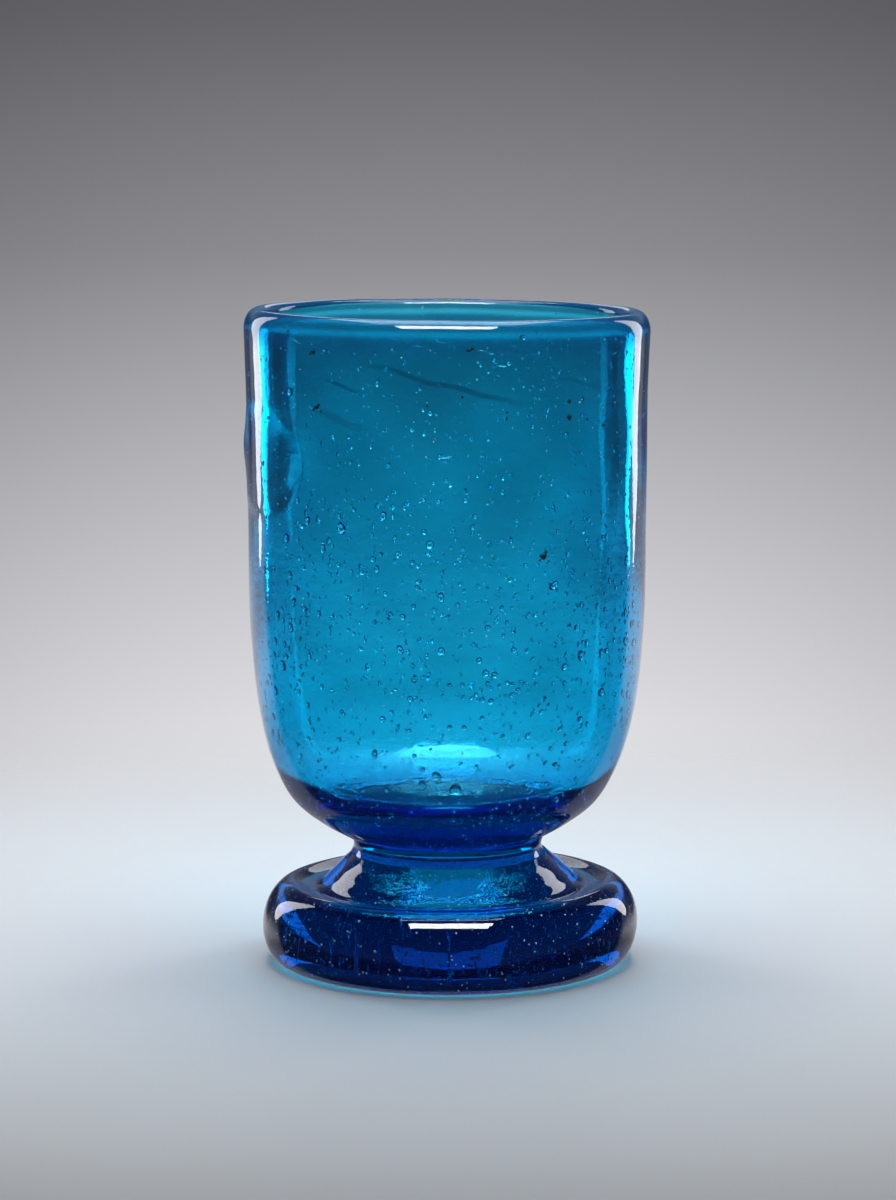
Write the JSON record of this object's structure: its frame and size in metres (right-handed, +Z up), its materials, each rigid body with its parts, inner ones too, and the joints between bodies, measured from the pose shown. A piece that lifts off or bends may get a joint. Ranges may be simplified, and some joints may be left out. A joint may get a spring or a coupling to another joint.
{
  "type": "wine goblet",
  "caption": "Hand-blown bubbled blue glass wine goblet: a tall straight-walled bowl with a round bottom on a short waisted neck and a thick round-edged foot.",
  "frame": {"origin": "centre of the goblet's outline on the plane that its foot stands on", "axes": "+Z up along the goblet's axis, -Y towards the camera of the picture, +X to the right"},
  "size_m": [0.0863, 0.086, 0.14],
  "materials": {
    "blue_glass": "fire-polished, seedy with air bubbles, deepening from turquoise in the walls to cobalt in the foot"
  },
  "bodies": {
    "root": {"foot": "blue_glass", "neck": "blue_glass", "bowl": "blue_glass"}
  },
  "joints": []
}
